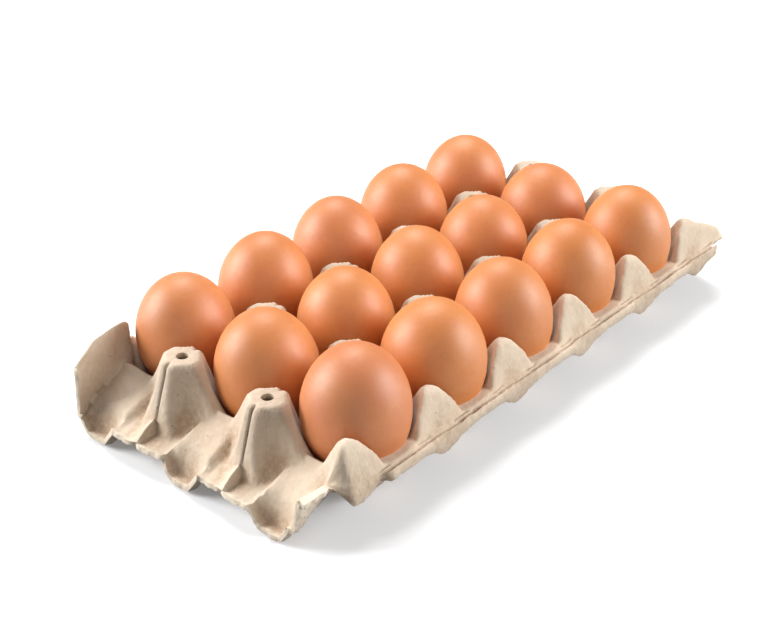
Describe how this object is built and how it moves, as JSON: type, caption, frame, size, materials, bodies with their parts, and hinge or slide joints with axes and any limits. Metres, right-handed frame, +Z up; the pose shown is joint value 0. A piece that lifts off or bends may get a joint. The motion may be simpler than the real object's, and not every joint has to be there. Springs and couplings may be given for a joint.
{
  "type": "egg tray with eggs",
  "caption": "Moulded-pulp egg tray with hollow posts, side flanges and torn ends, each full cell holding a brown egg, blunt end up.",
  "frame": {"origin": "middle of the tray on the surface that it stands on", "axes": "+X along the rows towards the far torn end, +Y across the columns, +Z up"},
  "size_m": [0.3003, 0.1564, 0.0642],
  "materials": {
    "pulp": "matt moulded paper pulp with fibres, specks and torn edges",
    "eggshell": "satin brown eggshell with fine pores and mottling"
  },
  "bodies": {
    "root": {"tray": "pulp", "egg_a1": "eggshell", "egg_a2": "eggshell", "egg_a3": "eggshell", "egg_a4": "eggshell", "egg_a5": "eggshell", "egg_b1": "eggshell", "egg_b2": "eggshell", "egg_b3": "eggshell", "egg_b4": "eggshell", "egg_b5": "eggshell", "egg_c1": "eggshell", "egg_c2": "eggshell", "egg_c3": "eggshell", "egg_c4": "eggshell", "egg_c5": "eggshell"}
  },
  "joints": []
}
